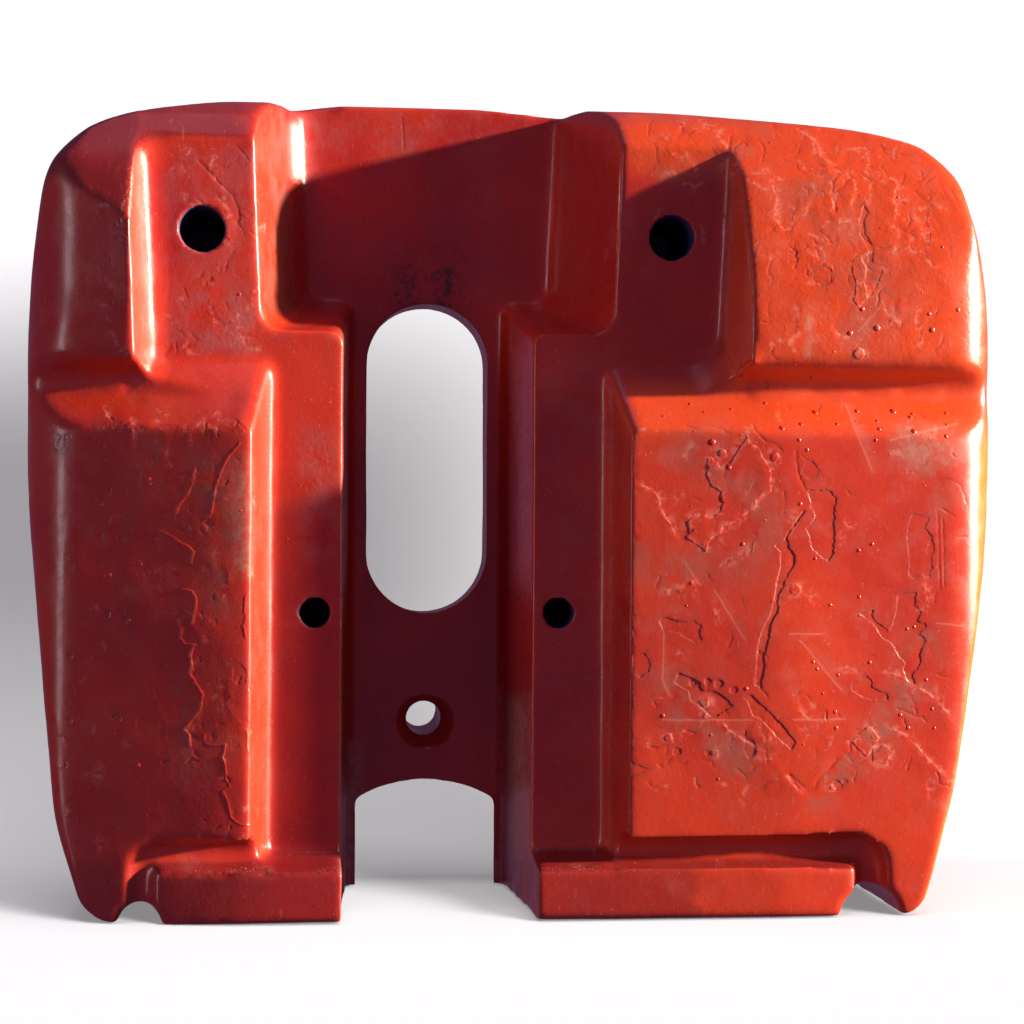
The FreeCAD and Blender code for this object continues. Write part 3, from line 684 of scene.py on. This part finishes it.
def paintMasks(mesh):
    spots, normals = pointsOf(mesh), normalsOf(mesh)
    seen, front = seenAt(spots), facing(spots, normals) > 0.1
    # the bolt holes' insides: their paint gets a dark navy colour, a painted shade for the deep holes
    inside = np.zeros(len(spots))
    for x, z, radius in holes["bolts"]:
        gap = np.hypot(spots[:, 0] - x, spots[:, 2] - z)
        inside = np.maximum(inside, (gap < radius + 0.0014) * (spots[:, 1] > -0.0815) * (spots[:, 1] < 0.05))
    mask(mesh, "bore", inside)
    spread = Spread(seen, front)
    # darkening along the sunken patches' outlines and along the grooves: painted shade in the creases
    sunk = np.zeros(len(spots))
    for kind, tall, width, line, closed in strokes:
        if tall > 0 or kind in ("step", "scratch"):
            continue
        near = spread.within(line, 4)
        if len(near):
            gap, side, within = awayFrom(seen[near], line, closed)
            level = np.exp(-(gap / 1.3) ** 2) * (0.7 if kind == "groove" else 1.0)
            sunk[near] = np.maximum(sunk[near], level)
    mask(mesh, "sunk", sunk)
    lines = np.zeros(len(spots))
    for line in scratchLines:
        near = spread.within(line, 4)
        if len(near):
            lines[near] = np.maximum(lines[near], np.exp(-(awayFrom(seen[near], line)[0] / 0.9) ** 2))
    mask(mesh, "scratch", lines)
    # pale lines along the steps and the raised patches' edges: partly pale paint at the lifted edges, partly a
    # painted highlight on them
    pale = np.zeros(len(spots))
    for kind, tall, width, line, closed in strokes:
        if kind != "step" and not (kind == "patch" and tall > 0):
            continue
        near = spread.within(line, 5)
        if len(near):
            pale[near] = np.maximum(pale[near], np.exp(-(awayFrom(seen[near], line, closed)[0] / 1.5) ** 2))
    mask(mesh, "pale", pale)
    # patches of coarser paint; their pinkish grey tint further on is partly dust and partly a painted sheen
    rough = 0.5 * blot(seen, front, 165, 148, 256, 350, 8) + 0.9 * blot(seen, front, 200, 298, 258, 350, 12)
    rough += 0.9 * blot(seen, front, 300, 432, 336, 560, 12) + 0.45 * blot(seen, front, 270, 110, 500, 300, 15)
    rough += 0.35 * blot(seen, front, 360, 620, 490, 780, 15) + 0.3 * blot(seen, front, 540, 350, 600, 850, 10)
    mask(mesh, "rough", rough)
    # walls that face the key light at the right: their paint is darkened to dark amber, a painted shade that tones
    # down the key's light on them
    wall = stepUp(normals[:, 0], 0.40, 0.80) * (1 - stepUp(seen[:, 0], 600, 640)) * (spots[:, 1] < 0.02)
    mask(mesh, "wall", wall)
    # the right edge's faces that turn to the right: a painted warm highlight in yellow-orange
    mask(mesh, "rimLightPainted", stepUp(normals[:, 0], 0.35, 0.75) * stepUp(seen[:, 0], 880, 930) * stepUp(seen[:, 1], 400, 460))
    # painted shade: the foot tops, the upper-left crown and corner, a band along the base and part of the left strip
    # are darkened
    ledge = stepUp(normals[:, 2], 0.35, 0.8) * (1 - stepUp(spots[:, 2], 0.075, 0.10))
    crown = stepUp(normals[:, 2], 0.10, 0.5) * stepUp(spots[:, 2], 0.60, 0.64) * (1 - stepUp(seen[:, 0], 235, 262))
    corner = stepUp(normals[:, 2], 0.02, 0.16) * stepUp(spots[:, 2], 0.58, 0.62) * (1 - stepUp(seen[:, 0], 122, 132))
    toes = (1 - stepUp(spots[:, 2], 0.048, 0.060)) * (seen[:, 0] < 700)
    mask(mesh, "shaded", ledge + crown + corner + 0.55 * toes + blot(seen, front, 262, 480, 346, 850, 25) * 0.35)
    haze = np.zeros(len(spots))
    for width, level, line in paintwork["hazes"]:
        line = np.array(line, float)
        near = spread.within(line, 2.2 * width)
        haze[near] = np.maximum(haze[near], level * np.exp(-(awayFrom(seen[near], line)[0] / width) ** 2))
    mask(mesh, "haze", haze)
    crest = np.zeros(len(spots))
    for line in crestLines:
        near = spread.within(line, 9)
        if len(near):
            crest[near] = np.maximum(crest[near], np.exp(-(awayFrom(seen[near], line)[0] / 3.2) ** 2))
    mask(mesh, "crest", crest)
    channelWall = blot(seen, front, 502, 700, 532, 862, 14) * (normals[:, 0] < -0.5)
    leftWear = blot(seen, front, 345, 745, 360, 870, 10)
    padWear = 0.55 * blot(seen, front, 234, 462, 249, 575, 9) + 0.5 * blot(seen, front, 52, 434, 72, 456, 5)
    smear = 0.5 * blot(seen, front, 806, 302, 813, 358, 4) + 0.35 * blot(seen, front, 893, 424, 955, 466, 12)
    mask(mesh, "worn", channelWall + leftWear + padWear + smear)
    stain = blot(seen, front, 398, 262, 412, 306, 8) + blot(seen, front, 440, 270, 452, 306, 7)
    mask(mesh, "stain", stain * 0.8 + 0.35 * blot(seen, front, 380, 240, 470, 320, 22))
    # the right-hand side of the front, most of all above the valley: painted warm light, its paint made more orange
    right = front * stepUp(seen[:, 0], 612, 640) * np.maximum(
        stepUp(-spots[:, 1], 0.092, 0.100), stepUp(spots[:, 2], 0.655, 0.675))
    mask(mesh, "peel", right * (1 - stepUp(seen[:, 1], 355, 372)))
    mask(mesh, "warmLightPainted", right * (0.35 + 0.65 * (1 - stepUp(seen[:, 1], 425, 445))))


paintMasks(body.data)
print("paint masks set")

# beads of paint, scattered over the fronts and placed where the camera sees them
beads = {"density": 700.0, "smallest": 0.0008, "largest": 0.0020, "flatness": 0.26, "seed": 7, "placed": [
    (800, 504, 2), (782, 428, 2.4), (801, 424, 2.2), (729, 468, 2.2), (712, 442, 3.2), (815, 412, 2.6),
    (857, 411, 2.4), (893, 411, 3.0), (910, 417, 2.2), (877, 421, 2.0), (837, 424, 2.0), (914, 431, 2.4),
    (946, 413, 2.2), (946, 436, 2.0), (799, 440, 2.0), (807, 450, 2.0), (813, 662, 1.8), (817, 669, 1.8),
    (838, 675, 1.8), (835, 712, 2.0), (836, 728, 2.0), (926, 680, 1.8), (900, 715, 2.0), (908, 728, 2.0),
    (932, 709, 1.8), (907, 629, 1.8), (914, 627, 1.8), (859, 597, 1.8), (830, 605, 1.8), (862, 309, 2.4),
    (877, 328, 3.0), (850, 333, 2.6), (932, 330, 2.8), (929, 314, 2.0), (958, 310, 2.2), (878, 327, 1.6),
    (101.4, 505, 1.8), (109.8, 575, 2.0), (140.7, 564, 1.8), (149, 479, 2.0), (150, 484, 1.6), (742, 376, 2.4),
    (812, 378, 2.0), (765, 403, 2.0), (690, 404, 2.0), (731, 409, 1.8), (663, 416, 1.8), (704, 412, 1.8)]}


def beadTree(material):
    tree = bpy.data.node_groups.new("paintBeads", "GeometryNodeTree")
    face = tree.interface
    face.new_socket("Geometry", in_out="INPUT", socket_type="NodeSocketGeometry")
    for name, kind in (("Density", "NodeSocketFloat"), ("Smallest", "NodeSocketFloat"),
                       ("Largest", "NodeSocketFloat"), ("Flatness", "NodeSocketFloat"), ("Seed", "NodeSocketInt")):
        face.new_socket(name, in_out="INPUT", socket_type=kind)
    face.new_socket("Geometry", in_out="OUTPUT", socket_type="NodeSocketGeometry")
    start = Signal(tree)
    given = tree.nodes.new("NodeGroupInput")
    value = {name: Signal(tree, given.outputs[name])
             for name in ("Geometry", "Density", "Smallest", "Largest", "Flatness", "Seed")}
    share = start.node("GeometryNodeInputNamedAttribute", {"data_type": "FLOAT"}, {"Name": "beadShare"})
    scatter = tree.nodes.new("GeometryNodeDistributePointsOnFaces")
    tree.links.new(value["Geometry"].source, scatter.inputs["Mesh"])
    tree.links.new((share * value["Density"]).source, scatter.inputs["Density"])
    tree.links.new(value["Seed"].source, scatter.inputs["Seed"])
    drawn = start.node("FunctionNodeRandomValue", {"data_type": "FLOAT"},
                       {2: 0.0, 3: 1.0, "Seed": value["Seed"]}, output=1)
    width = value["Smallest"] + drawn ** 2.2 * (value["Largest"] - value["Smallest"])
    dome = start.node("GeometryNodeMeshIcoSphere", {}, {"Radius": 1.0, "Subdivisions": 2})
    flat = start.node("ShaderNodeCombineXYZ", {}, {"X": 1.0, "Y": 1.0, "Z": value["Flatness"]})
    dome = start.node("GeometryNodeTransform", {}, {"Geometry": dome, "Scale": flat})
    scattered = start.node("GeometryNodeInstanceOnPoints", {}, {
        "Points": Signal(tree, scatter.outputs["Points"]), "Instance": dome,
        "Rotation": Signal(tree, scatter.outputs["Rotation"]), "Scale": width})
    size = start.node("GeometryNodeInputNamedAttribute", {"data_type": "FLOAT"}, {"Name": "beadSize"})
    way = start.node("GeometryNodeInputNamedAttribute", {"data_type": "FLOAT_VECTOR"}, {"Name": "beadWay"})
    marked = start.node("GeometryNodeMeshToPoints", {}, {"Mesh": value["Geometry"], "Selection": size})
    turned = start.node("FunctionNodeAlignRotationToVector", {"axis": "Z"}, {"Vector": way})
    placed = start.node("GeometryNodeInstanceOnPoints", {}, {"Points": marked, "Instance": dome,
                                                             "Rotation": turned, "Scale": size})
    both = tree.nodes.new("GeometryNodeJoinGeometry")
    for part in (scattered, placed):
        tree.links.new(part.source, both.inputs["Geometry"])
    real = start.node("GeometryNodeRealizeInstances", {}, {"Geometry": Signal(tree, both.outputs[0])})
    done = start.node("GeometryNodeSetMaterial", {}, {"Geometry": real, "Material": material})
    end = tree.nodes.new("NodeGroupOutput")
    tree.links.new(done.source, end.inputs["Geometry"])
    return tree


def makeBeads(casting, material):
    mesh = casting.data
    spots, normals = pointsOf(mesh), normalsOf(mesh)
    seen, front = seenAt(spots), facing(spots, normals) > 0.55
    share = 0.55 * blot(seen, front, 655, 395, 965, 470, 12) + 0.30 * blot(seen, front, 660, 480, 960, 790, 14)
    share += 0.45 * blot(seen, front, 770, 140, 965, 360, 14) + 0.12 * blot(seen, front, 60, 440, 250, 830, 14)
    share += 0.30 * blot(seen, front, 290, 430, 340, 600, 8) + 0.15 * blot(seen, front, 170, 150, 250, 350, 8)
    corners = [tuple(p.vertices) for p in mesh.polygons]
    kept = [c for c in corners if min(share[i] for i in c) > 0.02]
    used = sorted({i for c in kept for i in c})
    fresh = {old: new for new, old in enumerate(used)}
    places, ways, sizes = [tuple(spots[i]) for i in used], [(0, 0, 1)] * len(used), [0.0] * len(used)
    for across, down, radius in beads["placed"]:
        hit, place, normal, index = casting.ray_cast(camera["place"], rayThrough(across, down))
        if hit:
            places.append(tuple(place - normal * 0.0002))
            ways.append(tuple(normal))
            sizes.append(radius * 0.00105)
    made = bpy.data.meshes.new("paintBeads")
    made.from_pydata(places, [], [tuple(fresh[i] for i in c) for c in kept])
    shares = np.concatenate([share[used], np.zeros(len(places) - len(used))]).astype(np.float32)
    made.attributes.new("beadShare", "FLOAT", "POINT").data.foreach_set("value", shares)
    made.attributes.new("beadSize", "FLOAT", "POINT").data.foreach_set("value", np.array(sizes, np.float32))
    made.attributes.new("beadWay", "FLOAT_VECTOR", "POINT").data.foreach_set(
        "vector", np.array(ways, np.float32).ravel())
    piece = bpy.data.objects.new("paintBeads", made)
    bpy.context.scene.collection.objects.link(piece)
    tree = beadTree(material)
    modifier = piece.modifiers.new("beads", "NODES")
    modifier.node_group = tree
    given = {"Density": beads["density"], "Smallest": beads["smallest"], "Largest": beads["largest"],
             "Flatness": beads["flatness"], "Seed": beads["seed"]}
    for socket in tree.interface.items_tree:
        if socket.in_out == "INPUT" and socket.name in given:
            modifier[socket.identifier] = given[socket.name]
    graph = bpy.context.evaluated_depsgraph_get()
    plain = bpy.data.meshes.new_from_object(piece.evaluated_get(graph))
    piece.modifiers.remove(modifier)
    setPoints(plain, np.clip(pointsOf(plain), np.array(cadLow) + 1e-5, np.array(cadHigh) - 1e-5))
    piece.data = plain
    bpy.data.meshes.remove(made)
    plain.shade_smooth()
    print("beads:", len(plain.polygons), "faces")
    return piece


# paint: red over a casting, with specks, chips, worn edges and fine roughness; it also carries painted shade (bolt
# holes, grooves, ledges, walls facing the key) and painted light (right side and edge, pale step edges, glints)
def paintMaterial(name="chippedRedPaint"):
    material = bpy.data.materials.new(name)
    material.use_nodes = True
    tree = material.node_tree
    tree.nodes.clear()
    paint = Signal(tree)
    place = paint.node("ShaderNodeTexCoord", output="Object")

    def layer(layerName):
        return paint.node("ShaderNodeAttribute", {"attribute_name": layerName}, output="Fac")

    def noise(scale, detail=3.0, rough=0.55, stretch=None):
        spot = place if stretch is None else paint.node(
            "ShaderNodeVectorMath", {"operation": "MULTIPLY"}, {0: place, 1: stretch})
        return paint.node("ShaderNodeTexNoise", {}, {"Vector": spot, "Scale": scale, "Detail": detail,
                                                     "Roughness": rough})

    bore, sunk, scratch, crest = layer("bore"), layer("sunk"), layer("scratch"), layer("crest")
    worn, stain, peel, warmLightPainted = layer("worn"), layer("stain"), layer("peel"), layer("warmLightPainted")
    pale, coarse, shaded = layer("pale"), layer("rough"), layer("shaded")
    wall, rimLightPainted, haze = layer("wall"), layer("rimLightPainted"), layer("haze")
    broad, patchy, fine = noise(7.0, 2.0), noise(38.0, 4.0, 0.6), noise(420.0, 2.0)
    colour = broad.rise(0.36, 0.64).tint((0.47, 0.022, 0.016), (0.58, 0.036, 0.013))
    colour = (patchy.rise(0.52, 0.74) * 0.35).tint(colour, (0.38, 0.020, 0.024))
    # painted warm light: the right-hand side made more orange
    colour = (warmLightPainted * 0.70).tint(colour, (0.72, 0.072, 0.011))
    # painted shade on the ledges, the upper-left crown and corner, the base band and the left strip
    colour = (shaded * 0.80).tint(colour, (0.17, 0.010, 0.014))
    # painted shade on the walls that face the key light
    colour = (wall * 0.92).tint(colour, (0.26, 0.024, 0.003))
    # painted warm highlight on the right edge
    colour = (rimLightPainted * 0.8).tint(colour, (0.78, 0.17, 0.012))
    # pinkish grey over the coarse patches: partly dust, partly painted sheen
    colour = (coarse * patchy.rise(0.35, 0.60) * 0.45).tint(colour, (0.42, 0.13, 0.14))
    dusty = noise(16.0, 3.0, 0.7).rise(0.54, 0.78)
    colour = (dusty * 0.20).tint(colour, (0.48, 0.15, 0.12))
    colour = (haze * patchy.rise(0.38, 0.56)).tint(colour, (0.36, 0.095, 0.065))
    # fine specks: dark marks, and pale specks that are partly dust and partly painted glints
    specksAndGlints = noise(520.0, 2.0)
    colour = (specksAndGlints.rise(0.685, 0.73) * 0.5).tint(colour, (0.20, 0.02, 0.02))
    colour = (specksAndGlints.rise(0.300, 0.265) * 0.5).tint(colour, (0.72, 0.36, 0.33))
    rub = noise(60.0, 4.0, 0.6, (6.0, 1.0, 1.0)).rise(0.63, 0.72)
    colour = (rub * 0.22).tint(colour, (0.62, 0.22, 0.18))
    flecks = noise(900.0, 2.0).rise(0.60, 0.68)
    rubbed = crest * noise(30.0, 2.0).rise(0.46, 0.60)
    colour = (rubbed * flecks * 0.7).tint(colour, (0.18, 0.06, 0.05))
    colour = (rubbed * noise(500.0, 2.0).rise(0.60, 0.66) * 0.7).tint(colour, (0.62, 0.30, 0.24))
    wear = (worn * (0.45 + 0.8 * noise(120.0, 5.0, 0.7).rise(0.42, 0.60))).clamp()
    colour = (wear * 0.80).tint(colour, (0.42, 0.25, 0.19))
    # painted shade in the grooves and along the sunken patches' outlines
    colour = (sunk * 0.35).tint(colour, (0.17, 0.020, 0.018))
    # pale lines at the steps and raised edges: partly pale paint, partly painted highlight
    colour = (pale * noise(210.0, 3.0).rise(0.42, 0.58) * 0.45).tint(colour, (0.80, 0.28, 0.22))
    dark = (stain * (0.2 + noise(150.0, 5.0, 0.65).rise(0.45, 0.62))).clamp()
    colour = (dark * 0.85).tint(colour, (0.035, 0.020, 0.024))
    colour = (scratch * 0.35).tint(colour, (0.80, 0.34, 0.26))
    # painted shade: the bolt holes' insides turn dark navy
    colour = bore.tint(colour, (0.050, 0.040, 0.110))
    rough = 0.27 + 0.16 * patchy.rise(0.4, 0.7) + 0.22 * dusty + 0.30 * wear + 0.12 * sunk + 0.25 * bore + 0.16 * wall
    relief = fine * 0.45 + noise(170.0, 3.0) * 0.65 + noise(60.0, 1.0) * 0.5
    flakes = noise(70.0, 3.0, 0.6).rise(0.45, 0.55) * peel * 0.4 + noise(240.0, 2.0) * coarse * 1.7
    bump = paint.node("ShaderNodeBump", {}, {"Height": relief + flakes, "Strength": 0.9, "Distance": 0.00020})
    surface = paint.node("ShaderNodeBsdfPrincipled", {}, {
        "Base Color": colour, "Roughness": rough.clamp(), "Normal": bump, "Coat Weight": 0.35 * (1.0 - bore) * (1.0 - 0.85 * wall),
        "Coat Roughness": 0.16})
    paint.node("ShaderNodeOutputMaterial", {}, {"Surface": surface})
    return material


redPaint = paintMaterial()
body.data.materials.clear()
body.data.materials.append(redPaint)
paintBeads = makeBeads(body, redPaint)

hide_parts("ballast_weight")
for piece in (body, paintBeads):
    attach(piece, "root")

makeStudio([body, paintBeads], backdrop())
print("studio ready")
